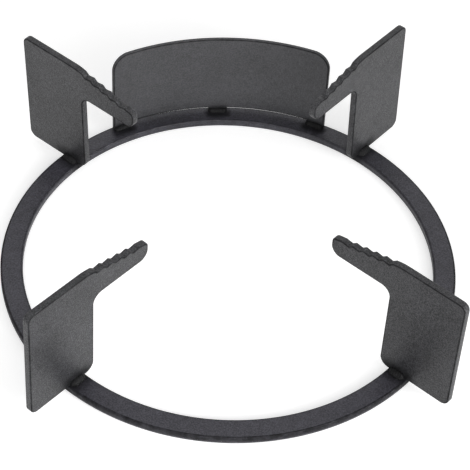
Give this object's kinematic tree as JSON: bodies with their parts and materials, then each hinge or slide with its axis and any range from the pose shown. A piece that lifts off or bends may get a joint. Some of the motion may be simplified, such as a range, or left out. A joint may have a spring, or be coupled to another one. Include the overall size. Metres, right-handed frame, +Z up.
{
  "type": "burner stand",
  "caption": "Round welded steel stand for a gas burner: a flat ring, plate fingers with notched arms that carry a pan, and a curved guard plate at the back.",
  "frame": {"origin": "centre of the ring's underside, on the surface that the stand rests on", "axes": "+Z up along the ring's axis, +Y towards the guard at the back, +X to the right as seen from the front"},
  "size_m": [0.22, 0.22, 0.0695],
  "materials": {
    "coated_steel": "satin dark grey heat-resistant coating on steel",
    "coated_weld": "the same satin dark grey coating over rippled weld beads"
  },
  "bodies": {
    "root": {"ring": "coated_steel", "finger_front_left": "coated_steel", "finger_front_right": "coated_steel", "finger_back_left": "coated_steel", "finger_back_right": "coated_steel", "guard": "coated_steel", "weld_front_left": "coated_weld", "weld_front_right": "coated_weld", "weld_back_left": "coated_weld", "weld_back_right": "coated_weld", "guard_welds": "coated_weld"}
  },
  "joints": []
}
